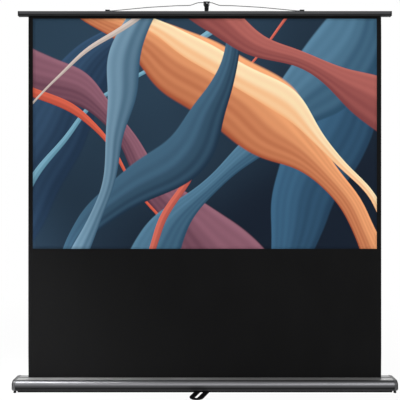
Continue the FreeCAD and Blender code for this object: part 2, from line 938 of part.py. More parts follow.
def make_wire_anchors():
    """Two saddles on the bar. The wire's end turns in a blind bore that faces the middle."""
    anchors = []
    for side, name in ENDS:
        start = end_span(side, "anchor_spread - anchor_length / 2", "anchor_length")
        saddle = block(
            "anchor_length", "anchor_depth", "anchor_height", start, "-anchor_depth / 2", "bar_top"
        )
        depth = "anchor_length / 2 + cut_overrun + running_gap"
        bore = rod(
            "wire_radius + running_gap",
            depth,
            end_span(side, "anchor_spread - anchor_length / 2 - cut_overrun", depth),
            "0",
            "wire_axis",
            "X",
        )
        anchors.append((saddle, bore))
    drills = [
        rod("screw_radius + screw_play", "anchor_height + 2 * cut_overrun", x, y, "bar_top - cut_overrun")
        for x, y in anchor_screw_places()
    ]
    pieces = [less(saddle, bore, drill) for (saddle, bore), drill in zip(anchors, drills)]
    keep("wire_anchors", group(*pieces))
    screws = [
        screw(x, y, "bar_top + anchor_height", "Z", -1, "anchor_height + bar_wall + cut_overrun")
        for x, y in anchor_screw_places()
    ]
    keep("anchor_screws", group(*screws))


def rounded_path(points, radii):
    """A wire of straight runs through the points, joined by tangent arcs of the given radii."""
    edges = []
    last = points[0]
    for before, corner, after, radius in zip(points, points[1:], points[2:], radii):
        inward = (before - corner).normalize()
        outward = (after - corner).normalize()
        half_angle = inward.getAngle(outward) / 2
        back = radius / math.tan(half_angle)
        start = corner + inward * back
        end = corner + outward * back
        middle = (inward + outward).normalize()
        centre = corner + middle * (radius / math.sin(half_angle))
        edges.append(Part.LineSegment(last, start).toShape())
        edges.append(Part.Arc(start, centre - middle * radius, end).toShape())
        last = end
    edges.append(Part.LineSegment(last, points[-1]).toShape())
    return Part.Wire(edges)


def make_lift_wire():
    """A formed spring-steel wire: two long arms that rise to a flat arch for the hook."""
    lean = number("wire_arch_setback") / number("wire_arch_rise")
    half = [
        (number("anchor_spread"), 0),
        (number("anchor_spread - anchor_length"), 0),
        (number("wire_arm_spread"), number("wire_arm_rise")),
        (number("wire_shoulder_spread"), number("wire_shoulder_rise")),
        (number("wire_kink_spread"), number("wire_kink_rise")),
        (number("wire_arch_spread"), number("wire_arch_rise")),
    ]
    places = [(-x, rise) for x, rise in half] + list(reversed(half))
    points = [VECTOR(x, lean * rise, number("wire_axis") + rise) for x, rise in places]
    bends = [
        "wire_anchor_bend",
        "wire_arm_bend",
        "wire_shoulder_bend",
        "wire_kink_bend",
        "wire_arch_bend",
    ]
    radii = [number(name) for name in bends + bends[::-1]]
    path = rounded_path(points, radii)
    ring = Part.Wire(Part.makeCircle(number("wire_radius"), points[0], VECTOR(1, 0, 0)))
    wire = DOC.addObject("Part::Feature", "LiftWire")
    wire.Shape = path.makePipeShell([ring], True, False)
    bare = math.pi * number("wire_radius") ** 2 * path.Length
    print("lift wire: length", round(path.Length, 1), "volume share", round(wire.Shape.Volume / bare, 4))
    keep("lift_wire", wire)


# the mast and what carries it


def mast_piece(name, points):
    """A piece turned about the mast's axis: points are radius and height above the floor."""
    return turned(name, points, "mast_offset", "mast_setback", "0")


def mast_sleeve(radius, start, end):
    points = [
        (f"{radius} - mast_wall", start),
        (radius, start),
        (radius, end),
        (f"{radius} - mast_wall", end),
    ]
    return mast_piece("Tube", points)


def pivot_drill():
    return rod(
        "pivot_radius + running_gap",
        "2 * mast_lower_radius + 2 * cut_overrun",
        "mast_offset",
        "mast_setback - mast_lower_radius - cut_overrun",
        "pivot_height",
        "Y",
    )


def make_mast_tubes():
    lower = mast_sleeve("mast_lower_radius", "mast_lower_start", "mast_lower_end")
    keep("mast_lower_tube", less(lower, pivot_drill()))
    spigot = "mast_lower_radius - mast_wall - plug_fit"
    points = [
        ("0", "mast_lower_start - base_plug_flange"),
        ("mast_lower_radius", "mast_lower_start - base_plug_flange"),
        ("mast_lower_radius", "mast_lower_start"),
        (spigot, "mast_lower_start"),
        (spigot, "mast_lower_start + base_plug_spigot"),
        ("0", "mast_lower_start + base_plug_spigot"),
    ]
    keep("mast_base_plug", less(mast_piece("Plug", points), pivot_drill()))
    middle = mast_sleeve("mast_middle_radius", "mast_middle_start", "mast_middle_end")
    keep("mast_middle_tube", middle)
    top = mast_sleeve("mast_top_radius", "mast_top_start", "mast_top_end")
    keep("mast_top_tube", less(top, hook_pin("hook_pin_radius + thread_play")))
    make_slide_plug("middle_slide_plug", "mast_lower_radius", "mast_middle_radius", "mast_middle_start")
    make_slide_plug("top_slide_plug", "mast_middle_radius", "mast_top_radius", "mast_top_start")


def make_slide_plug(label, outer_tube, inner_tube, start):
    """The plastic foot of a sliding tube. It guides the tube inside the one below."""
    guide = f"{outer_tube} - mast_wall - running_gap"
    spigot = f"{inner_tube} - mast_wall - plug_fit"
    points = [
        ("slide_plug_bore", f"{start} - slide_plug_length"),
        (guide, f"{start} - slide_plug_length"),
        (guide, start),
        (spigot, start),
        (spigot, f"{start} + slide_plug_spigot"),
        ("slide_plug_bore", f"{start} + slide_plug_spigot"),
    ]
    keep(label, mast_piece("SlidePlug", points))


def make_collar(label, outer_tube, inner_tube, joint):
    """A twist-lock collar over the mouth of a tube, with ribs to grip."""
    rim = f"{outer_tube} + running_gap + collar_wall"
    low = f"{joint} - collar_below"
    high = f"{joint} + collar_above"
    points = [
        (f"{outer_tube} + running_gap", low),
        (f"{rim} - collar_edge", low),
        (rim, f"{low} + collar_edge"),
        (rim, f"{high} - collar_edge"),
        (f"{rim} - collar_edge", high),
        (f"{inner_tube} + running_gap", high),
        (f"{inner_tube} + running_gap", f"{joint} + running_gap"),
        (f"{outer_tube} + running_gap", f"{joint} + running_gap"),
    ]
    ribs = []
    for step in range(number_of("collar_ribs")):
        angle = 2 * math.pi * step / number_of("collar_ribs")
        across_share, along_share = math.cos(angle), math.sin(angle)
        ribs.append(
            rod(
                "collar_rib",
                "collar_below + collar_above - 2 * collar_rib_inset",
                f"mast_offset + ({across_share:.6f}) * ({rim})",
                f"mast_setback + ({along_share:.6f}) * ({rim})",
                f"{low} + collar_rib_inset",
            )
        )
    keep(label, fused(mast_piece("Collar", points), *ribs))


def number_of(name):
    return round(number(name))


def hook_pin(radius):
    """The cross pin of the hook, or with a wider radius the hole for it."""
    return rod(
        radius,
        "2 * hook_body_half_width + 2 * thread_play",
        "mast_offset - hook_body_half_width - thread_play",
        "mast_setback",
        "mast_top_end - hook_pin_drop",
        "X",
    )


def make_hook():
    """The moulded head: a socket on the top tube, and an arm whose notch holds the wire."""
    bottom = "mast_top_end - hook_socket_drop"
    crown = "wire_seat + hook_crown"
    floor = "wire_seat - wire_radius - running_gap"
    notch_rear = "wire_arch_setback + hook_notch_width / 2"
    notch_front = "wire_arch_setback - hook_notch_width / 2"
    tip = f"{notch_front} - hook_nose_thickness"
    rear = "mast_setback + hook_socket_depth"
    socket_front = "mast_setback - hook_socket_depth"
    side_view = [
        (socket_front, bottom),
        (rear, bottom),
        (rear, f"{crown} - hook_corner"),
        (f"{rear} - hook_corner", crown),
        (f"{notch_rear} + hook_corner", crown),
        (notch_rear, f"{crown} - hook_corner / 2"),
        (notch_rear, floor),
        (notch_front, floor),
        (notch_front, f"{floor} + hook_nose_height"),
        (tip, f"{floor} + hook_nose_height - hook_nose_bevel"),
        (tip, f"{floor} - hook_arm_thickness"),
        (socket_front, f"{floor} - hook_arm_thickness - hook_arm_slope"),
    ]
    wide = "hook_top_half_width"
    body = "hook_body_half_width"
    narrow = "hook_bottom_half_width"
    front_view = [
        (f"mast_offset - {narrow}", bottom),
        (f"mast_offset + {narrow}", bottom),
        (f"mast_offset + {body}", f"{bottom} + hook_taper"),
        (f"mast_offset + {body}", f"{crown} - hook_shoulder - hook_funnel"),
        (f"mast_offset + {wide}", f"{crown} - hook_shoulder"),
        (f"mast_offset + {wide}", f"{crown} - hook_edge"),
        (f"mast_offset + {wide} - hook_edge", crown),
        (f"mast_offset - {wide} + hook_edge", crown),
        (f"mast_offset - {wide}", f"{crown} - hook_edge"),
        (f"mast_offset - {wide}", f"{crown} - hook_shoulder"),
        (f"mast_offset - {body}", f"{crown} - hook_shoulder - hook_funnel"),
        (f"mast_offset - {body}", f"{bottom} + hook_taper"),
    ]
    side = pad("HookSide", "YZ_Plane", [side_view], f"mast_offset - {wide}", f"2 * {wide}")
    front = pad("HookFront", "XZ_Plane", [front_view], tip, f"{rear} - ({tip})")
    head = DOC.addObject("Part::MultiCommon", "HookHead")
    head.Shapes = [side, front]
    socket = rod(
        "mast_top_radius + thread_play",
        "hook_socket_drop + cut_overrun",
        "mast_offset",
        "mast_setback",
        f"{bottom} - cut_overrun",
    )
    keep("mast_hook", less(head, socket, hook_pin("hook_pin_radius + thread_play")))
    keep("hook_pin", hook_pin("hook_pin_radius"))


def hexagon(u, v, radius):
    """The six corners of a nut."""
    corners = []
    for step in range(6):
        angle = math.pi * step / 3
        across_share, along_share = math.cos(angle), math.sin(angle)
        corners.append(
            (f"{u} + ({across_share:.6f}) * {radius}", f"{v} + ({along_share:.6f}) * {radius}")
        )
    return corners


def mast_bracket_places():
    """The bracket's screws, in the rear wall of the case."""
    return [
        (f"mast_offset {shift}", f"case_floor + {rise}")
        for shift in ("- bracket_screw_spread", "+ bracket_screw_spread")
        for rise in ("bracket_screw_low", "bracket_screw_high")
    ]


def make_mast_bracket():
    """A bent steel fork: a plate on the case that is also the front ear, a web and a rear ear."""
    half = "mast_bracket_half_width"
    foot = f"({half} + mast_bracket_foot)"
    web_top = "pivot_height - mast_bracket_web_drop"
    ear_start = f"{web_top} - mast_bracket_thickness"
    front_ear = [
        (f"mast_offset - {foot}", "case_floor + mast_bracket_foot"),
        (f"mast_offset + {foot}", "case_floor + mast_bracket_foot"),
        (f"mast_offset + {foot}", ear_start),
        (f"mast_offset + {half}", web_top),
        (f"mast_offset + {half}", "bracket_top - mast_bracket_foot"),
        (f"mast_offset + {half} - mast_bracket_foot", "bracket_top"),
        (f"mast_offset - {half}", "bracket_top"),
        (f"mast_offset - {half}", web_top),
        (f"mast_offset - {foot}", ear_start),
    ]
    rear_ear = [
        (f"mast_offset - {half}", ear_start),
        (f"mast_offset + {half}", ear_start),
        (f"mast_offset + {half}", "bracket_top - mast_bracket_foot"),
        (f"mast_offset + {half} - mast_bracket_foot", "bracket_top"),
        (f"mast_offset - {half}", "bracket_top"),
    ]
    thick = "mast_bracket_thickness"
    span = f"ear_outer - ear_inner + 2 * {thick}"
    front = pad("FrontEar", "XZ_Plane", [front_ear], "case_rear", thick)
    rear = pad("RearEar", "XZ_Plane", [rear_ear], "ear_outer", thick)
    web = block(f"2 * {half}", span, thick, f"mast_offset - {half}", "case_rear", ear_start)
    stop = block(
        "stop_thickness",
        span,
        "stop_height",
        "mast_offset - mast_lower_radius - running_gap - stop_thickness",
        "case_rear",
        "bracket_top - stop_height",
    )
    pivot_hole = rod(
        "pivot_radius + thread_play",
        f"{span} + 2 * cut_overrun",
        "mast_offset",
        "case_rear - cut_overrun",
        "pivot_height",
        "Y",
    )
    drills = [
        rod("screw_radius + screw_play", f"{thick} + 2 * cut_overrun", x, "case_rear - cut_overrun", z, "Y")
        for x, z in mast_bracket_places()
    ]
    keep("mast_bracket", less(fused(front, rear, web, stop), pivot_hole, *drills))
    screws = [
        screw(x, "ear_inner", z, "Y", -1, "bracket_screw_length") for x, z in mast_bracket_places()
    ]
    keep("mast_bracket_screws", group(*screws))


def make_mast_pivot():
    """The bolt through both ears and the foot of the mast, its nut and its two washers."""
    end = "ear_outer + mast_bracket_thickness"
    reach = f"{end} - case_rear + pivot_nut_height + cut_overrun"
    points = [
        ("0", "-pivot_head"),
        ("pivot_head_radius", "-pivot_head"),
        ("pivot_head_radius", "0"),
        ("pivot_radius", "0"),
        ("pivot_radius", reach),
        ("0", reach),
    ]
    bolt = turned("Bolt", points, "mast_offset", "case_rear", "pivot_height", "Y")
    keep("pivot_bolt", bolt)
    outline = hexagon("mast_offset", "pivot_height", "pivot_head_radius")
    bore = "pivot_radius + thread_play"
    hole = ("mast_offset", "pivot_height", bore)
    keep("pivot_nut", pad("Nut", "XZ_Plane", [outline, hole], end, "pivot_nut_height"))
    width = "mast_bracket_gap - running_gap"
    washers = [
        sleeve(bore, "pivot_washer_radius", width, "mast_offset", y, "pivot_height", "Y")
        for y in ("ear_inner", f"ear_outer - ({width})")
    ]
    keep("pivot_washers", group(*washers))


def clip_places():
    return [
        (f"clip_place {side} clip_screw_spread", "pivot_height - clip_screw_drop") for side in "-+"
    ]


def make_mast_clip():
    """An open clip behind the case, which takes the mast when it is folded down."""
    bore = "(mast_lower_radius + running_gap)"
    outer = "(mast_lower_radius + running_gap + clip_wall)"
    rim = "pivot_height + clip_rise"
    section = [
        ("case_rear", "pivot_height - clip_leg_drop"),
        (f"mast_setback - {outer}", "pivot_height - clip_leg_drop"),
        (f"mast_setback - {outer}", f"pivot_height - {outer}"),
        (f"mast_setback + {outer} - rear_corner_radius", f"pivot_height - {outer}"),
        (f"mast_setback + {outer}", f"pivot_height - {outer} + rear_corner_radius", "rear_corner_radius"),
        (f"mast_setback + {outer}", rim),
        (f"mast_setback + {bore}", rim),
        (f"mast_setback + {bore}", "pivot_height"),
        ("mast_setback", f"pivot_height - {bore}", f"-{bore}"),
        (f"mast_setback - {bore}", "pivot_height", f"-{bore}"),
        (f"mast_setback - {bore}", rim),
        ("case_rear", rim),
    ]
    clip = pad("Clip", "YZ_Plane", [section], "clip_place - clip_length / 2", "clip_length")
    leg = f"mast_setback - {outer}"
    drills = [
        rod(
            "screw_radius + screw_play",
            f"{leg} - case_rear + 2 * cut_overrun",
            x,
            "case_rear - cut_overrun",
            z,
            "Y",
        )
        for x, z in clip_places()
    ]
    keep("mast_clip", less(clip, *drills))
    screws = [screw(x, leg, z, "Y", -1, "bracket_screw_length") for x, z in clip_places()]
    keep("mast_clip_screws", group(*screws))


# the ring foot


def turned_out(item):
    """Turns a piece of the ring foot to its place at rest, about the foot's pivot."""
    item.Placement = FreeCAD.Placement(
        VECTOR(), FreeCAD.Rotation(VECTOR(0, 0, 1), -number("ring_angle"))
    )
    item.setExpression("Placement.Rotation.Angle", bound("-ring_angle"))
    return item


def ring_hole(end):
    """One of the two openings of the ring, from the bridge to the round end on side end."""
    half = "(ring_width / 2 - ring_limb)"
    centre = f"(ring_length / 2 - ring_end - {half})"
    loop = [
        (f"-{half}", "ring_bridge / 2"),
        (half, "ring_bridge / 2"),
        (half, centre),
        ("0", f"{centre} + {half}", half),
        (f"-{half}", centre, half),
    ]
    if end > 0:
        return loop
    return [(f"-({point[0]})", f"-({point[1]})", *point[2:]) for point in loop]


def make_ring_foot():
    half = "(ring_width / 2)"
    centre = "(ring_length / 2 - ring_width / 2)"
    outline = [
        (half, f"-{centre}"),
        (half, centre),
        ("0", f"{centre} + {half}", half),
        (f"-{half}", centre, half),
        (f"-{half}", f"-{centre}"),
        ("0", f"-{centre} - {half}", half),
        (half, f"-{centre}", half),
    ]
    ring = pad(
        "Ring", "XY_Plane", [outline[1:], ring_hole(1), ring_hole(-1)], "pad_thickness", "ring_thickness"
    )
    pivot_hole = rod(
        "foot_pivot_radius + running_gap",
        "ring_thickness + 2 * cut_overrun",
        "0",
        "0",
        "pad_thickness - cut_overrun",
    )
    recess = rod(
        "foot_pivot_head_radius + running_gap",
        "foot_pivot_head + running_gap + cut_overrun",
        "0",
        "0",
        "pad_thickness - cut_overrun",
    )
    keep("swivel_foot_ring", turned_out(less(ring, pivot_hole, recess)))
    pads = [
        rod("pad_radius", "pad_thickness", "0", f"{sign}(ring_length / 2 - ring_end / 2)", "0")
        for sign in ("", "-")
    ]
    keep("swivel_foot_pads", turned_out(group(*pads)))


def make_foot_pivot():
    """The shoulder bolt of the ring foot, the spacer above the ring, and the nut in the case."""
    inside = "case_floor + case_wall"
    end = f"{inside} + foot_nut_height + cut_overrun"
    points = [
        ("0", "pad_thickness"),
        ("foot_pivot_head_radius", "pad_thickness"),
        ("foot_pivot_head_radius", "pad_thickness + foot_pivot_head"),
        ("foot_pivot_radius", "pad_thickness + foot_pivot_head"),
        ("foot_pivot_radius", end),
        ("0", end),
    ]
    keep("foot_pivot_bolt", turned("Bolt", points, "0", "0", "0"))
    height = "rail_web - ring_top - running_gap"
    spacer = sleeve(
        "foot_pivot_radius + thread_play", "foot_spacer_radius", height, "0", "0", "ring_top + running_gap"
    )
    keep("foot_pivot_spacer", spacer)
    hole = ("0", "0", "foot_pivot_radius + thread_play")
    nut = pad("Nut", "XY_Plane", [hexagon("0", "0", "foot_nut_radius"), hole], inside, "foot_nut_height")
    keep("foot_pivot_nut", nut)


def check_and_write():
    """Stops on a failed object or a bad solid, then writes each node's file."""
    DOC.recompute()
    failed = [item.Name for item in DOC.Objects if {"Invalid", "Error"} & set(item.State)]
    if failed:
        raise SystemExit(f"failed: {failed}")
    bad = [
        item.Label
        for item in NODES
        if item.Shape.isNull() or not item.Shape.isValid() or not item.Shape.Solids
    ]
    if bad:
        raise SystemExit(f"not a good solid: {bad}")
    os.makedirs("parts", exist_ok=True)
    for item in NODES:
        item.Shape.exportStep(f"parts/{item.Label}.step")
    print(len(NODES), "nodes,", sum(len(item.Shape.Solids) for item in NODES), "solids")


def main():
    fill_sheet()
    make_case()
    make_ends()
    make_rail()
    make_felts()
    make_roller()
    make_roller_brackets()
    make_roller_axles()
    make_fabric()
    make_bar()
    make_wire_anchors()
    make_lift_wire()
    make_mast_tubes()
    make_collar("lower_lock_collar", "mast_lower_radius", "mast_middle_radius", "mast_lower_end")
    make_collar("upper_lock_collar", "mast_middle_radius", "mast_top_radius", "mast_middle_end")
    make_hook()
    make_mast_bracket()
    make_mast_pivot()
    make_mast_clip()
    make_ring_foot()
    make_foot_pivot()
    check_and_write()


main()
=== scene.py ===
"""The looks of a pull-up projection screen: materials, cloth, small hardware, light and camera."""

import json
import math

import bmesh
import bpy
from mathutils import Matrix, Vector


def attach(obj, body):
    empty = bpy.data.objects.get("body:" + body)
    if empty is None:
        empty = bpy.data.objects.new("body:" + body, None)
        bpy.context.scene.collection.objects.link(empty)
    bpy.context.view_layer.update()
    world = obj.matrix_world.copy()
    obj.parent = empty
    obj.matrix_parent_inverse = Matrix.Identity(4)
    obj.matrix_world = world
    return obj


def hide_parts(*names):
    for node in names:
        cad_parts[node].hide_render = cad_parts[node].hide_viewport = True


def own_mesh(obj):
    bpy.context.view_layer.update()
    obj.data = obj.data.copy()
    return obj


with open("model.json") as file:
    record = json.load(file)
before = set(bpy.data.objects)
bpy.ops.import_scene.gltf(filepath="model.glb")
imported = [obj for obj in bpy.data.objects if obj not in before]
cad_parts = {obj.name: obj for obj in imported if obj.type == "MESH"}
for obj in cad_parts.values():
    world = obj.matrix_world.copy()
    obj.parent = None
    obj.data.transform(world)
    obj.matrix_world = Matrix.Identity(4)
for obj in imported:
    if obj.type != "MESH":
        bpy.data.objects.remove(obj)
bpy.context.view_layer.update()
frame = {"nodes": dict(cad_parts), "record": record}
NODES = frame["nodes"]

# places in metres, as in part.py
FABRIC_HALF = 1.026
FABRIC_LOW, FABRIC_HIGH = 0.043, 2.1855
FABRIC_BACK, FABRIC_FRONT = 0.0, -0.0005
VIEW_HALF = 1.0
VIEW_LOW, VIEW_HIGH = 0.820, 2.159
VIEW_FRONT = -0.00075
SLOT_TOP = 0.072
BAR_BOTTOM = 2.172
CASE_HALF = 1.082
MAST_X, MAST_Y = 0.011, 0.061

# The cloth stands off its plane by a slow swell, upright waves and the curl of its side edges.
SWELL_DEPTH, WAVE_DEPTH, CURL_DEPTH = 0.0011, 0.00035, 0.0016
# They start this far from the slot and from the bar, and reach their depth over this height.
SLOT_MARGIN, SLOT_FADE = 0.006, 0.16
BAR_MARGIN, BAR_FADE = 0.004, 0.12
CLOTH_COLUMNS, SCREEN_ROWS, VIEW_ROWS = 90, 100, 64

# A screw's head: its depth, the flat around the cross recess as a share of its radius, and its
# outline outside that as share of radius, share of depth and whether the face there is smooth.
SCREW_HEAD = 0.0024
HEAD_FLAT = 0.66
HEAD_OUTLINE = (
    (0.82, 0.08, True),
    (0.93, 0.24, True),
    (0.99, 0.48, True),
    (1.00, 0.62, True),
    (1.00, 1.00, False),
)
# the recess: length and half width of an arm as shares of the radius, its taper, its share of depth
RECESS_ARM, RECESS_HALF, RECESS_TAPER, RECESS_DEPTH = 0.56, 0.13, 0.85, 0.55
# the shank: its radius, and the length and radius of its blunt tip as shares of that radius
SCREW_SHANK = 0.00165
TIP_LENGTH, TIP_RADIUS = 0.3, 0.7
# turns of the crosses in radians, of the first one and from one to the next
FIRST_TURN, NEXT_TURN = 0.4, 1.1
CROSSED = ("cap_screws", "rail_screws", "mast_bracket_screws", "mast_clip_screws", "anchor_screws")

# the rivet on the hook's nose: where it sits, and radius and height along its outline
RIVET_PLACE = (0.013, 0.0155, 2.2555)
RIVET = ((0.0030, -0.0004), (0.0030, 0.0003), (0.0026, 0.0008), (0.0016, 0.0011))

# Radius and height along the outline of the black sleeve under the hook, and whether the face
# from there to the next is smooth.
SLEEVE = (
    (0.0094, 2.2080, False),
    (0.0101, 2.2080, True),
    (0.0106, 2.2086, True),
    (0.0106, 2.2266, False),
    (0.0094, 2.2266, True),
)
SLEEVE_SIDES = 32

# sections of the black strips on the case's front, in Y and Z: thin lines of painted groove shade,
# and a wedge of painted shade under its lower edge
STRIPS = {
    "groove_shade_line": ((-0.0619, 0.0270), (-0.0619, 0.0315), (-0.06225, 0.0312), (-0.06225, 0.0273)),
    "groove_shade_strip": (
        (-0.0610, 0.0250),
        (-0.0619, 0.0262),
        (-0.0621, 0.0260),
        (-0.0621, 0.0240),
        (-0.0619, 0.0238),
    ),
    "lower_edge_shade": ((-0.0598, 0.0202), (-0.0598, 0.0149), (-0.0545, 0.0149)),
}

# widths of the small rounds on sharp edges, and the least turn of such an edge in degrees
ROUNDED = {
    "mast_hook": 0.0008,
    "mast_bracket": 0.0005,
    "mast_clip": 0.0005,
    "wire_anchors": 0.0008,
    "swivel_foot_ring": 0.0006,
    "base_rail": 0.0005,
    "left_bar_cap": 0.0008,
    "right_bar_cap": 0.0008,
    "pivot_nut": 0.0003,
}
SHARP = 40

CAMERA_PLACE = (-0.028, -3.0, 1.1039)
CAMERA_LENS, CAMERA_SENSOR = 46.40, 36.0

# name, place, target, width, height, watts and spread in degrees
LAMPS = (
    ("front", (0.35, -4.2, 0.75), (0.05, 0, 0.3), 4.1, 0.6, 43, 180),
    ("key", (-1.75, -2.45, 2.1), (-0.9, 0, 0.35), 1.0, 2.0, 9.5, 180),
    ("bar", (0.9, -3.0, 3.3), (0.4, 0, 2.19), 2.4, 0.4, 1.1, 60),
    ("edge", (-1.6, -0.7, 1.7), (-1.0, 0, 0.07), 0.9, 0.5, 5.5, 50),
    ("fill", (2.6, -3.2, 1.4), (0.5, 0, 0.5), 1.6, 1.4, 33, 180),
    ("top", (-0.6, -0.5, 3.6), (-0.2, 0.1, 0), 2.4, 0.8, 20, 180),
    ("rear", (1.5, 3.0, 2.6), (0, 0, 1.0), 1.8, 1.8, 55, 180),
)
WORLD_LIGHT = 0.36
FLOOR_HALF = 30.0
FLOOR_GREY, FLOOR_ROUGHNESS = 0.86, 0.9
# The floor's share of plain white grows from the first to the second between these distances.
FLOOR_WHITE = (0.94, 1.0)
FLOOR_REACH = (0.8, 3.5)


# node materials

# the Mix node's sockets for colours, and the Map Range node's for its limits
MIX_COLOURS, MIX_RESULT = (6, 7), 2
MAP_RANGE = ("From Min", "From Max", "To Min", "To Max")


class Material:
    """A Principled material with short calls for the nodes that feed it."""

    def __init__(self, name, colour, roughness, metallic=0.0, specular=0.5, **sockets):
        self.data = bpy.data.materials.new(name)
        self.data.use_nodes = True
        self.data.diffuse_color = (*colour, 1)
        self.nodes = self.data.node_tree.nodes
        self.shader = self.nodes["Principled BSDF"]
        self.shader.inputs["Base Color"].default_value = (*colour, 1)
        self.shader.inputs["Roughness"].default_value = roughness
        self.shader.inputs["Metallic"].default_value = metallic
        self.shader.inputs["Specular IOR Level"].default_value = specular
        for socket, value in sockets.items():
            self.shader.inputs[socket.replace("_", " ")].default_value = value

    def feed(self, socket, value):
        """Puts a value or another node's output into a socket."""
        if isinstance(value, bpy.types.NodeSocket):
            self.data.node_tree.links.new(value, socket)
        else:
            socket.default_value = value

    def place(self, scale=(1, 1, 1)):
        """Object coordinates in metres, times scale."""
        source = self.nodes.new("ShaderNodeTexCoord").outputs["Object"]
        if tuple(scale) == (1, 1, 1):
            return source
        mapping = self.nodes.new("ShaderNodeMapping")
        self.feed(mapping.inputs["Vector"], source)
        mapping.inputs["Scale"].default_value = scale
        return mapping.outputs["Vector"]

    def noise(self, scale, stretch=(1, 1, 1), detail=3.0, roughness=0.5):
        node = self.nodes.new("ShaderNodeTexNoise")
        self.feed(node.inputs["Vector"], self.place(stretch))
        node.inputs["Scale"].default_value = scale
        node.inputs["Detail"].default_value = detail
        node.inputs["Roughness"].default_value = roughness
        return node.outputs["Fac"]

    def facing_up(self, low, high):
        """0 where the normal's height is under low, 1 where it is over high."""
        normal = self.nodes.new("ShaderNodeTexCoord").outputs["Normal"]
        return self.spread(self.split(normal)[2], 0.0, 1.0, low, high)

    def math(self, operation, first, second=0.0, clamp=False):
        node = self.nodes.new("ShaderNodeMath")
        node.operation = operation
        node.use_clamp = clamp
        self.feed(node.inputs[0], first)
        self.feed(node.inputs[1], second)
        return node.outputs[0]

    def plus(self, base, value, factor):
        """base + value × factor"""
        return self.math("ADD", base, self.math("MULTIPLY", value, factor))

    def wave(self, value, number, phase=0.0):
        """The sine of value × number + phase."""
        return self.math("SINE", self.plus(phase, value, number))

    def split(self, vector):
        """The X, Y and Z of a vector."""
        node = self.nodes.new("ShaderNodeSeparateXYZ")
        self.feed(node.inputs[0], vector)
        return node.outputs[0], node.outputs[1], node.outputs[2]

    def spread(self, value, low, high, first=0.0, last=1.0):
        """Maps first..last of value to low..high, smoothly and clamped."""
        node = self.nodes.new("ShaderNodeMapRange")
        node.interpolation_type = "SMOOTHSTEP"
        self.feed(node.inputs["Value"], value)
        for socket, number in zip(MAP_RANGE, (first, last, low, high)):
            node.inputs[socket].default_value = number
        return node.outputs["Result"]

    def blend(self, share, first, second):
        """A colour between two, each a colour or an output."""
        node = self.nodes.new("ShaderNodeMix")
        node.data_type = "RGBA"
        self.feed(node.inputs[0], share)
        for index, colour in zip(MIX_COLOURS, (first, second)):
            is_output = isinstance(colour, bpy.types.NodeSocket)
            self.feed(node.inputs[index], colour if is_output else (*colour, 1))
        return node.outputs[MIX_RESULT]

    def colour(self, value):
        self.feed(self.shader.inputs["Base Color"], value)

    def rough(self, value):
        self.feed(self.shader.inputs["Roughness"], value)

    def relief(self, height, depth, strength=1.0):
        """Bump of the given depth in metres. A second call lies on the first."""
        node = self.nodes.new("ShaderNodeBump")
        node.inputs["Distance"].default_value = depth
        node.inputs["Strength"].default_value = strength
        self.feed(node.inputs["Height"], height)
        links = self.shader.inputs["Normal"].links
        if links:
            self.feed(node.inputs["Normal"], links[0].from_socket)
        self.feed(self.shader.inputs["Normal"], node.outputs["Normal"])


def tinted(colour, factor):
    return tuple(channel * factor for channel in colour)


# the pale colour of dust on what faces up, which also paints a sheen of the light from above
DUST_AND_SHEEN = (0.40, 0.40, 0.40)
# heights of the normal: dust and a painted sheen of the light from above lie on what faces up more
# than this, and the painted highlight on the metal fades out from the first to the second of these
DUST_AND_SHEEN_FACING = 0.91
HIGHLIGHT_FACING = (0.42, 0.85)


def extrusion(name, colour, roughness, bloom, crest, low, high):
    """Anodised aluminium with die lines along X, faint cloudiness and handling marks. Towards the
    crest of its corner, from low to high, it is painted lighter as a highlight, and what faces up is
    matt and pale: fine dust together with a painted sheen of the light from above."""
    made = Material(name, colour, roughness, metallic=1.0, specular=0.2)
    lines = made.noise(1.0, (1.2, 900, 900), detail=2.0)
    clouds = made.noise(3.0, (1, 6, 6), detail=4.0)
    marks = made.noise(60.0, (0.1, 1, 1), detail=4.0, roughness=0.6)
    shade = made.plus(made.math("MULTIPLY", lines, 0.4), clouds, 0.6)
    metal = made.blend(shade, tinted(colour, 0.88), tinted(colour, 1.12))
    # painted highlight: the metal turns lighter by crest from low to high in height towards the
    # corner's crest, and fades out where the normal looks up
    height = made.split(made.place())[2]
    upright = made.math("SUBTRACT", 1.0, made.facing_up(*HIGHLIGHT_FACING))
    wear_and_highlight = made.math("MULTIPLY", made.spread(height, 0.0, 1.0, low, high), upright)
    wear_and_highlight = made.math("MULTIPLY", wear_and_highlight, made.spread(marks, 0.90, 1.0, 0.3, 0.6))
    metal = made.blend(wear_and_highlight, metal, tinted(colour, crest))
    # dust with a painted pale sheen of the light from above, on what faces up, where the metal turns
    # matt
    dust_and_sheen = made.math(
        "MULTIPLY", made.facing_up(DUST_AND_SHEEN_FACING, 1.0), made.spread(clouds, bloom, 0.8 * bloom)
    )
    made.colour(made.blend(dust_and_sheen, metal, DUST_AND_SHEEN))
    made.feed(made.shader.inputs["Metallic"], made.math("SUBTRACT", 1.0, dust_and_sheen))
    made.rough(made.spread(marks, roughness - 0.02, roughness + 0.03, 0.3, 0.75))
    made.relief(lines, 0.00002, 0.4)
    return made.data


def brushed(name, colour, roughness, stretch):
    """Plated or drawn steel, with fine lines along one axis."""
    made = Material(name, colour, roughness, metallic=1.0)
    lines = made.noise(1.0, stretch, detail=2.0)
    clouds = made.noise(14.0, detail=4.0)
    made.colour(made.blend(clouds, tinted(colour, 0.85), tinted(colour, 1.1)))
    made.rough(made.spread(lines, roughness - 0.05, roughness + 0.1, 0.3, 0.7))
    made.relief(lines, 0.000015, 0.4)
    return made.data


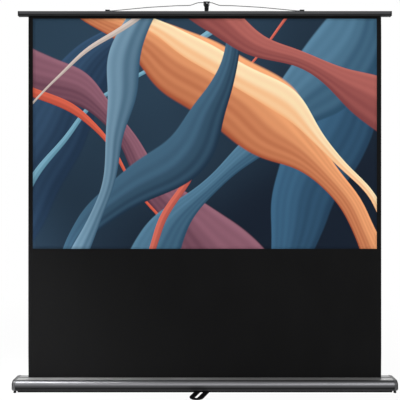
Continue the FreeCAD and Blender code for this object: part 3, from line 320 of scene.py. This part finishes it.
def moulded(name, colour, roughness, grain=1400.0, depth=0.00004, specular=0.14):
    """Moulded plastic with a spark-eroded grain and slightly worn patches."""
    made = Material(name, colour, roughness, specular=specular)
    pits = made.noise(grain, detail=3.0, roughness=0.6)
    wear_and_highlight = made.noise(22.0, detail=5.0, roughness=0.65)
    made.colour(made.blend(wear_and_highlight, tinted(colour, 0.82), tinted(colour, 1.22)))
    made.rough(made.spread(wear_and_highlight, roughness + 0.08, roughness - 0.1, 0.35, 0.75))
    made.relief(pits, depth, 0.7)
    return made.data


def powder_coat(name, colour, roughness):
    """Black stoving paint with orange peel and a light dusting."""
    made = Material(name, colour, roughness, specular=0.06)
    peel = made.noise(700.0, detail=2.0)
    dust_and_sheen = made.noise(40.0, detail=6.0, roughness=0.7)
    made.colour(made.blend(made.spread(dust_and_sheen, 0.0, 1.0, 0.55, 0.8), colour, tinted(colour, 3.0)))
    made.rough(made.spread(dust_and_sheen, roughness - 0.04, roughness + 0.16, 0.4, 0.75))
    made.relief(peel, 0.00006, 0.6)
    return made.data


def felt(name, colour):
    made = Material(name, colour, 0.95, specular=0.1, Sheen_Weight=0.35, Sheen_Roughness=0.6)
    fibres = made.noise(1100.0, (0.35, 1, 1), detail=4.0, roughness=0.75)
    made.colour(made.blend(fibres, tinted(colour, 0.6), tinted(colour, 1.9)))
    made.relief(fibres, 0.0003, 0.8)
    return made.data


def weave_height(made, pitch):
    """Plain weave: warp and weft threads that pass over each other."""
    turn = 2 * math.pi / pitch
    x, _, z = made.split(made.place())
    return made.math("MULTIPLY", made.wave(x, turn), made.wave(z, turn))


def coated_cloth(name, colour):
    """Black coated glass-fibre cloth: a fine weave under a matt coat, with faint handling sheen."""
    made = Material(name, colour, 0.82, specular=0.06)
    weave = weave_height(made, 0.0011)
    mottle = made.noise(5.0, (1, 1, 0.5), detail=5.0, roughness=0.6)
    specks = made.noise(900.0, detail=2.0)
    shade = made.plus(made.math("MULTIPLY", mottle, 0.6), specks, 0.4)
    made.colour(made.blend(shade, tinted(colour, 0.8), tinted(colour, 1.2)))
    made.rough(made.spread(mottle, 0.76, 0.9, 0.3, 0.7))
    made.relief(weave, 0.00006, 0.5)
    return made.data


# The generic design on the viewing area is crossing ribbons. Each has its turn in degrees, the
# offset of its middle, height, number and phase of its waves, its half width, and its dark and
# light colour. Lengths are shares of the area's width.
RIBBONS = (
    (62, -0.36, 0.050, 5.2, 0.4, 0.105, (0.010, 0.038, 0.080), (0.048, 0.142, 0.250)),
    (48, 0.30, 0.060, 4.4, 1.9, 0.120, (0.006, 0.020, 0.048), (0.038, 0.090, 0.170)),
    (44, 0.21, 0.055, 4.6, 2.5, 0.012, (0.060, 0.180, 0.270), (0.270, 0.540, 0.680)),
    (-38, -0.20, 0.055, 5.0, 3.1, 0.085, (0.090, 0.030, 0.052), (0.330, 0.140, 0.190)),
    (-45, -0.29, 0.060, 4.4, 2.4, 0.013, (0.400, 0.050, 0.030), (0.850, 0.160, 0.090)),
    (55, -0.14, 0.070, 4.8, 2.6, 0.085, (0.014, 0.056, 0.108), (0.105, 0.240, 0.360)),
    (59, -0.045, 0.065, 4.4, 1.5, 0.011, (0.340, 0.060, 0.050), (0.800, 0.180, 0.120)),
    (-42, 0.10, 0.060, 4.2, 0.9, 0.100, (0.350, 0.070, 0.028), (1.000, 0.450, 0.200)),
    (-40, 0.155, 0.060, 4.2, 0.9, 0.034, (0.900, 0.420, 0.180), (1.000, 0.870, 0.560)),
    (58, 0.09, 0.065, 5.6, 4.4, 0.062, (0.004, 0.018, 0.042), (0.064, 0.155, 0.245)),
    (-35, 0.34, 0.050, 5.5, 5.2, 0.070, (0.170, 0.036, 0.040), (0.520, 0.150, 0.125)),
    (66, 0.245, 0.055, 5.0, 0.2, 0.040, (0.028, 0.084, 0.145), (0.210, 0.360, 0.480)),
    (52, 0.40, 0.060, 5.2, 3.3, 0.010, (0.350, 0.290, 0.260), (0.850, 0.730, 0.660)),
)
GROUND_DARK, GROUND_LIGHT = (0.003, 0.009, 0.021), (0.020, 0.048, 0.082)

# Across a ribbon from dark to light: its slope, soft folds and fine threads as shares of that
# range, the rate of the folds, and that of the threads for each unit of half width.
SLOPE, FOLD_SHARE, THREAD_SHARE = 0.42, 0.09, 0.06
FOLDS, THREADS = 7.0, 230
# a ribbon's width: its mean share, how far it swings and how much faster than the ribbon bends
WIDTH_MEAN, WIDTH_TURN, WIDTH_RATE = 0.72, 0.38, 1.4
# the ribbon's edge fades from this share of its half width, and the swell bends its middle
EDGE_FROM, SWELL_BEND = 0.93, 0.18
# how the ground darkens to the right, upwards and with the swell
GROUND_RIGHT, GROUND_UP, GROUND_SWELL = 0.8, -1.1, 0.8
GRAIN, GRAIN_SHARE = (0.30, 0.30, 0.31), 0.02


def ribbon_picture(name):
    """White screen cloth that shows soft crossing ribbons, shaded across like folded silk."""
    made = Material(name, (0.14, 0.13, 0.15), 0.78, specular=0.08)
    x, _, z = made.split(made.place())
    right = made.math("MULTIPLY", x, 0.5 / VIEW_HALF)
    middle = (VIEW_LOW + VIEW_HIGH) / 2
    up = made.math("MULTIPLY", made.math("SUBTRACT", z, middle), 0.5 / VIEW_HALF)
    swell = made.math("SUBTRACT", made.noise(1.1, detail=1.0), 0.5)
    ground = made.plus(made.math("MULTIPLY", right, GROUND_RIGHT), up, GROUND_UP)
    ground = made.plus(ground, swell, GROUND_SWELL)
    paint = made.blend(made.spread(ground, 0.0, 1.0, -0.5, 0.5), GROUND_LIGHT, GROUND_DARK)
    for turn, offset, height, number, phase, half, dark, light in RIBBONS:
        sine, cosine = math.sin(math.radians(turn)), math.cos(math.radians(turn))
        along = made.plus(made.math("MULTIPLY", right, cosine), up, sine)
        across = made.plus(made.math("MULTIPLY", up, cosine), right, -sine)
        centre = made.plus(offset, made.wave(along, number, phase), height)
        centre = made.plus(centre, swell, SWELL_BEND)
        twist = made.wave(along, WIDTH_RATE * number, 2 * phase)
        width = made.math("MULTIPLY", made.plus(WIDTH_MEAN, twist, WIDTH_TURN), half)
        local = made.math("DIVIDE", made.math("SUBTRACT", across, centre), width)
        inside = made.spread(made.math("ABSOLUTE", local), 1.0, 0.0, EDGE_FROM, 1.0)
        lit = made.math("MULTIPLY", local, SLOPE)
        lit = made.plus(lit, made.wave(local, FOLDS), FOLD_SHARE)
        lit = made.plus(lit, made.wave(local, THREADS * half, phase), THREAD_SHARE)
        lit = made.math("ADD", lit, 0.5, clamp=True)
        paint = made.blend(inside, paint, made.blend(lit, dark, light))
    grain = made.noise(700.0, detail=2.0)
    paint = made.blend(made.math("MULTIPLY", grain, GRAIN_SHARE), paint, GRAIN)
    made.colour(paint)
    made.relief(weave_height(made, 0.0009), 0.00003, 0.35)
    return made.data


MATERIALS = {
    # crest, low and high paint a highlight on the case's rounded corner and down its front, and along
    # the top of the bar
    "case_aluminium": extrusion(
        "case_aluminium", (0.037, 0.037, 0.039), 0.38, bloom=0.7, crest=4.2, low=0.034, high=0.053
    ),
    "bar_aluminium": extrusion(
        "bar_aluminium", (0.042, 0.042, 0.044), 0.40, bloom=0.2, crest=1.3, low=2.180, high=2.195
    ),
    "mast_steel": brushed("mast_steel", (0.44, 0.44, 0.45), 0.19, (500, 500, 3)),
    "bright_steel": brushed("bright_steel", (0.50, 0.50, 0.51), 0.30, (300, 300, 300)),
    "dark_wire": brushed("dark_wire", (0.022, 0.022, 0.024), 0.34, (8, 900, 900)),
    "cap_grey": moulded("cap_grey", (0.060, 0.060, 0.063), 0.36, specular=0.3),
    "black_plastic": moulded("black_plastic", (0.0075, 0.0075, 0.008), 0.46),
    "black_paint": powder_coat("black_paint", (0.0034, 0.0034, 0.0037), 0.40),
    "white_plastic": moulded("white_plastic", (0.72, 0.72, 0.69), 0.5),
    "black_rubber": moulded(
        "black_rubber", (0.008, 0.008, 0.008), 0.78, grain=500.0, depth=0.0001, specular=0.1
    ),
    "black_fabric": coated_cloth("black_fabric", (0.0057, 0.0057, 0.0059)),
    "white_screen": ribbon_picture("screen_design"),
    "black_felt": felt("black_felt", (0.010, 0.010, 0.010)),
}
SLOT_OF = {part["node"]: part["material_slot"] for part in frame["record"]["subparts"]}


def dress_nodes():
    """Every CAD node gets the finish of its slot."""
    for name, item in NODES.items():
        if not item.material_slots:
            item.data.materials.append(None)
        for slot in item.material_slots:
            slot.material = MATERIALS[SLOT_OF[name]]


# the cloth


def smooth(value):
    value = min(max(value, 0.0), 1.0)
    return value * value * (3 - 2 * value)


def ripple(x, z):
    """How far the hanging cloth stands off its plane, in metres: a taut sheet with a slow swell
    and slightly curled side edges. It is flat in the slot and at the bar."""
    above_slot = smooth((z - SLOT_TOP - SLOT_MARGIN) / SLOT_FADE)
    below_bar = smooth((BAR_BOTTOM - BAR_MARGIN - z) / BAR_FADE)
    side = x / FABRIC_HALF
    swell = math.sin(2.3 * x + 0.9 * z + 0.6) * math.sin(1.7 * z - 0.8 * x) * SWELL_DEPTH
    waves = math.sin(9.5 * x + 0.35 * math.sin(2.2 * z)) * WAVE_DEPTH
    curl = -CURL_DEPTH * abs(side) ** 14 * (1 + 0.35 * math.sin(3.1 * z + side))
    return above_slot * below_bar * (swell + waves + curl)


def cloth(name, slot, half, low, high, front, back, rows):
    """A thin closed sheet between two planes, both following the ripple."""
    mesh = bmesh.new()
    columns = CLOTH_COLUMNS
    grids = []
    for plane in (front, back):
        grid = [
            [
                mesh.verts.new((x, plane + ripple(x, z), z))
                for x in (half * (2 * i / columns - 1) for i in range(columns + 1))
            ]
            for z in (low + (high - low) * j / rows for j in range(rows + 1))
        ]
        grids.append(grid)
    for grid, turned in zip(grids, (False, True)):
        for j in range(rows):
            for i in range(columns):
                corners = [grid[j][i], grid[j][i + 1], grid[j + 1][i + 1], grid[j + 1][i]]
                mesh.faces.new(corners[::-1] if turned else corners)
    front_grid, back_grid = grids
    rims = [
        ([row[0] for row in back_grid], [row[0] for row in front_grid]),
        ([row[-1] for row in front_grid], [row[-1] for row in back_grid]),
        (front_grid[0], back_grid[0]),
        (back_grid[-1], front_grid[-1]),
    ]
    for first, second in rims:
        for a, b, c, d in zip(first, first[1:], second[1:], second):
            mesh.faces.new((a, d, c, b))
    bmesh.ops.recalc_face_normals(mesh, faces=mesh.faces)
    return finished(name, mesh, slot)


def finished(name, mesh, slot, body="case", smooth_shade=True):
    """An object in the scene from a bmesh, with its slot's finish, riding on a body. With
    smooth_shade None each face keeps its own shading."""
    data = bpy.data.meshes.new(name)
    if smooth_shade is not None:
        for face in mesh.faces:
            face.smooth = smooth_shade
    mesh.to_mesh(data)
    mesh.free()
    item = bpy.data.objects.new(name, data)
    bpy.context.collection.objects.link(item)
    data.materials.append(MATERIALS[slot])
    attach(item, body)
    return item


def solids_of(node):
    """The points of each separate solid in a CAD node, in order along X, then Y and Z."""
    mesh = bmesh.new()
    mesh.from_mesh(NODES[node].data)
    bmesh.ops.remove_doubles(mesh, verts=mesh.verts, dist=1e-6)
    unseen = set(mesh.verts)
    solids = []
    for seed in list(mesh.verts):
        if seed not in unseen:
            continue
        unseen.remove(seed)
        front, points = [seed], []
        while front:
            vert = front.pop()
            points.append(vert.co.copy())
            for edge in vert.link_edges:
                other = edge.other_vert(vert)
                if other in unseen:
                    unseen.remove(other)
                    front.append(other)
        solids.append(points)
    mesh.free()
    return sorted(solids, key=lambda points: tuple(sum(points, Vector()) / len(points)))


def box_of(points):
    return (
        Vector([min(point[i] for point in points) for i in range(3)]),
        Vector([max(point[i] for point in points) for i in range(3)]),
    )


def loop_of(mesh, place, outline, depth):
    """A ring of vertices: outline points in the head's plane, depth below its top."""
    return [mesh.verts.new(place(u, v, depth)) for u, v in outline]


def join_loops(mesh, first, second, smooth_shade):
    for i in range(len(first)):
        j = (i + 1) % len(first)
        face = mesh.faces.new((first[i], first[j], second[j], second[i]))
        face.smooth = smooth_shade


def circle(radius, count=24):
    turns = [2 * math.pi * i / count for i in range(count)]
    return [(radius * math.cos(turn), radius * math.sin(turn)) for turn in turns]


def cross(arm, half, turn):
    """The outline of a cross recess, turned in its plane."""
    corners = []
    for quarter in range(4):
        angle = turn + quarter * math.pi / 2
        for u, v in ((arm, -half), (arm, half), (half, half)):
            corners.append(
                (u * math.cos(angle) - v * math.sin(angle), u * math.sin(angle) + v * math.cos(angle))
            )
    return corners


def add_screw(mesh, points, turn):
    """A pan-head screw with a cross recess, in the place of a plain CAD screw."""
    low, high = box_of(points)
    middle = (low + high) / 2
    size = high - low
    along = max(range(3), key=lambda i: size[i])
    u_axis, v_axis = [i for i in range(3) if i != along]
    radius = size[u_axis] / 2

    def off_axis(point):
        return math.hypot(point[u_axis] - middle[u_axis], point[v_axis] - middle[v_axis])

    wide = [point[along] for point in points if off_axis(point) > 0.9 * radius]
    end = 1 if sum(wide) / len(wide) > middle[along] else -1
    top = high[along] if end > 0 else low[along]

    def place(u, v, depth):
        point = Vector()
        point[u_axis] = middle[u_axis] + u
        point[v_axis] = middle[v_axis] + v
        point[along] = top - end * depth
        return point

    recess = cross(RECESS_ARM * radius, RECESS_HALF * radius, turn)
    rim = loop_of(mesh, place, recess, 0.0)
    inner = [(RECESS_TAPER * u, RECESS_TAPER * v) for u, v in recess]
    floor = loop_of(mesh, place, inner, RECESS_DEPTH * SCREW_HEAD)
    join_loops(mesh, rim, floor, False)
    mesh.faces.new(floor)
    last = loop_of(mesh, place, circle(HEAD_FLAT * radius), 0.0)
    edges = [mesh.edges.get(pair) for pair in zip(rim, rim[1:] + rim[:1])]
    edges += [mesh.edges.new(pair) for pair in zip(last, last[1:] + last[:1])]
    bmesh.ops.triangle_fill(mesh, edges=edges, use_beauty=True)
    length = size[along]
    for share, depth, smooth_shade in HEAD_OUTLINE:
        ring = loop_of(mesh, place, circle(share * radius), depth * SCREW_HEAD)
        join_loops(mesh, last, ring, smooth_shade)
        last = ring
    for ring_radius, depth, smooth_shade in (
        (SCREW_SHANK, SCREW_HEAD, False),
        (SCREW_SHANK, length - TIP_LENGTH * SCREW_SHANK, True),
        (TIP_RADIUS * SCREW_SHANK, length, False),
    ):
        ring = loop_of(mesh, place, circle(ring_radius), depth)
        join_loops(mesh, last, ring, smooth_shade)
        last = ring
    mesh.faces.new(last)


def make_screws():
    """Screws with cross recesses in the place of those that can be seen."""
    bodies = frame["record"]["behaviour"]["bodies"]
    for node in CROSSED:
        mesh = bmesh.new()
        for index, points in enumerate(solids_of(node)):
            add_screw(mesh, points, FIRST_TURN + NEXT_TURN * index)
        bmesh.ops.recalc_face_normals(mesh, faces=mesh.faces)
        body = next(name for name, nodes in bodies.items() if node in nodes)
        item = finished(f"cross_{node}", mesh, SLOT_OF[node], body, None)
        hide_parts(node)


def round_edges():
    """A small round on the sharp edges of moulded, pressed and cast pieces, which catches light."""
    for node, width in ROUNDED.items():
        edge = NODES[node].modifiers.new("edge", "BEVEL")
        edge.width = width
        edge.segments = 2
        edge.limit_method = "ANGLE"
        edge.angle_limit = math.radians(SHARP)
        edge.use_clamp_overlap = True


def make_rivet():
    """The bright rivet on the nose of the hook."""
    mesh = bmesh.new()
    x, y, z = RIVET_PLACE
    last = None
    for radius, proud in RIVET:
        ring = [mesh.verts.new((x + u, y - proud, z + v)) for u, v in circle(radius)]
        if last:
            join_loops(mesh, last, ring, True)
        else:
            mesh.faces.new(ring)
        last = ring
    mesh.faces.new(last).smooth = True
    bmesh.ops.recalc_face_normals(mesh, faces=mesh.faces)
    finished("hook_rivet", mesh, "bright_steel", "mast_top", None)


def make_sleeve():
    """The black sleeve on the mast's thinnest tube, which the hook rests on."""
    mesh = bmesh.new()
    rings = [
        [mesh.verts.new((MAST_X + u, MAST_Y + v, z)) for u, v in circle(radius, SLEEVE_SIDES)]
        for radius, z, _ in SLEEVE
    ]
    for ring, other, point in zip(rings, rings[1:] + rings[:1], SLEEVE):
        join_loops(mesh, ring, other, point[-1])
    bmesh.ops.recalc_face_normals(mesh, faces=mesh.faces)
    finished("hook_sleeve", mesh, "black_plastic", "mast_top", None)


def make_strips():
    """Black strips on the case's front: thin lines of painted groove shade, and painted shade at its
    lower edge.
    """
    for name, section in STRIPS.items():
        mesh = bmesh.new()
        left, right = (
            [mesh.verts.new((x, y, z)) for y, z in section] for x in (-CASE_HALF, CASE_HALF)
        )
        join_loops(mesh, left, right, False)
        mesh.faces.new(left)
        mesh.faces.new(right)
        bmesh.ops.recalc_face_normals(mesh, faces=mesh.faces)
        finished(name, mesh, "black_paint", "case", False)


def make_cloths():
    """The black cloth and the white area on it."""
    screen = cloth(
        "screen_cloth",
        "black_fabric",
        FABRIC_HALF,
        FABRIC_LOW,
        FABRIC_HIGH,
        FABRIC_FRONT,
        FABRIC_BACK,
        SCREEN_ROWS,
    )
    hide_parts("fabric_sheet")
    area = cloth(
        "viewing_area",
        "white_screen",
        VIEW_HALF,
        VIEW_LOW,
        VIEW_HIGH,
        VIEW_FRONT,
        FABRIC_FRONT,
        VIEW_ROWS,
    )
    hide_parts("viewing_surface")
    for item in (screen, area):
        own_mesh(item)


# camera, light and floor


def aim(item, target):
    item.rotation_euler = (Vector(target) - item.location).to_track_quat("-Z", "Y").to_euler()


def make_camera():
    data = bpy.data.cameras.new("camera")
    data.sensor_width = CAMERA_SENSOR
    data.lens = CAMERA_LENS
    camera = bpy.data.objects.new("camera", data)
    camera.location = CAMERA_PLACE
    camera.rotation_euler = (math.radians(90), 0, 0)
    bpy.context.collection.objects.link(camera)
    bpy.context.scene.camera = camera


def soft_light(name, place, target, width, height, watts, spread):
    data = bpy.data.lights.new(name, "AREA")
    data.shape = "RECTANGLE"
    data.size, data.size_y = width, height
    data.energy = watts
    data.spread = math.radians(spread)
    light = bpy.data.objects.new(name, data)
    light.location = place
    light.visible_camera = False
    bpy.context.collection.objects.link(light)
    aim(light, target)


def shown_white(tree, lit, white):
    """Mixes two shaders: white for what the camera, metal and glass see, lit for the rest."""
    path = tree.nodes.new("ShaderNodeLightPath")
    seen = path.outputs["Is Camera Ray"]
    for ray in ("Is Glossy Ray", "Is Transmission Ray"):
        either = tree.nodes.new("ShaderNodeMath")
        either.operation = "MAXIMUM"
        tree.links.new(seen, either.inputs[0])
        tree.links.new(path.outputs[ray], either.inputs[1])
        seen = either.outputs[0]
    mix = tree.nodes.new("ShaderNodeMixShader")
    tree.links.new(seen, mix.inputs[0])
    tree.links.new(lit, mix.inputs[1])
    tree.links.new(white, mix.inputs[2])
    return mix.outputs[0]


def make_world():
    world = bpy.data.worlds.new("studio")
    bpy.context.scene.world = world
    world.use_nodes = True
    tree = world.node_tree
    lit = tree.nodes["Background"]
    lit.inputs["Color"].default_value = (1, 1, 1, 1)
    lit.inputs["Strength"].default_value = WORLD_LIGHT
    white = tree.nodes.new("ShaderNodeBackground")
    white.inputs["Color"].default_value = (1, 1, 1, 1)
    white.inputs["Strength"].default_value = 1.0
    seen = shown_white(tree, lit.outputs[0], white.outputs[0])
    tree.links.new(seen, tree.nodes["World Output"].inputs["Surface"])


def make_floor():
    """A wide pale floor that turns to the backdrop's white with distance. It keeps a faint
    shadow of the object."""
    data = bpy.data.meshes.new("floor")
    half = FLOOR_HALF
    data.from_pydata(
        [(-half, -half, 0), (half, -half, 0), (half, half, 0), (-half, half, 0)], [], [(0, 1, 2, 3)]
    )
    floor = bpy.data.objects.new("floor", data)
    bpy.context.collection.objects.link(floor)
    pale = bpy.data.materials.new("pale_floor")
    pale.use_nodes = True
    tree = pale.node_tree
    shader = tree.nodes["Principled BSDF"]
    shader.inputs["Base Color"].default_value = (FLOOR_GREY, FLOOR_GREY, FLOOR_GREY, 1)
    shader.inputs["Roughness"].default_value = FLOOR_ROUGHNESS
    shader.inputs["Specular IOR Level"].default_value = 0.0
    white = tree.nodes.new("ShaderNodeEmission")
    white.inputs["Strength"].default_value = 1.0
    partly = tree.nodes.new("ShaderNodeMixShader")
    place = tree.nodes.new("ShaderNodeTexCoord").outputs["Object"]
    distance = tree.nodes.new("ShaderNodeVectorMath")
    distance.operation = "LENGTH"
    tree.links.new(place, distance.inputs[0])
    share = tree.nodes.new("ShaderNodeMapRange")
    tree.links.new(distance.outputs["Value"], share.inputs["Value"])
    for socket, value in zip(MAP_RANGE, FLOOR_REACH + FLOOR_WHITE):
        share.inputs[socket].default_value = value
    tree.links.new(share.outputs[0], partly.inputs[0])
    tree.links.new(shader.outputs[0], partly.inputs[1])
    tree.links.new(white.outputs[0], partly.inputs[2])
    seen = shown_white(tree, shader.outputs[0], partly.outputs[0])
    tree.links.new(seen, tree.nodes["Material Output"].inputs["Surface"])
    data.materials.append(pale)


dress_nodes()
make_cloths()
make_screws()
make_rivet()
make_strips()
make_sleeve()
round_edges()
make_camera()
make_world()
make_floor()
for lamp in LAMPS:
    soft_light(*lamp)

bpy.context.scene.view_settings.view_transform = "Standard"
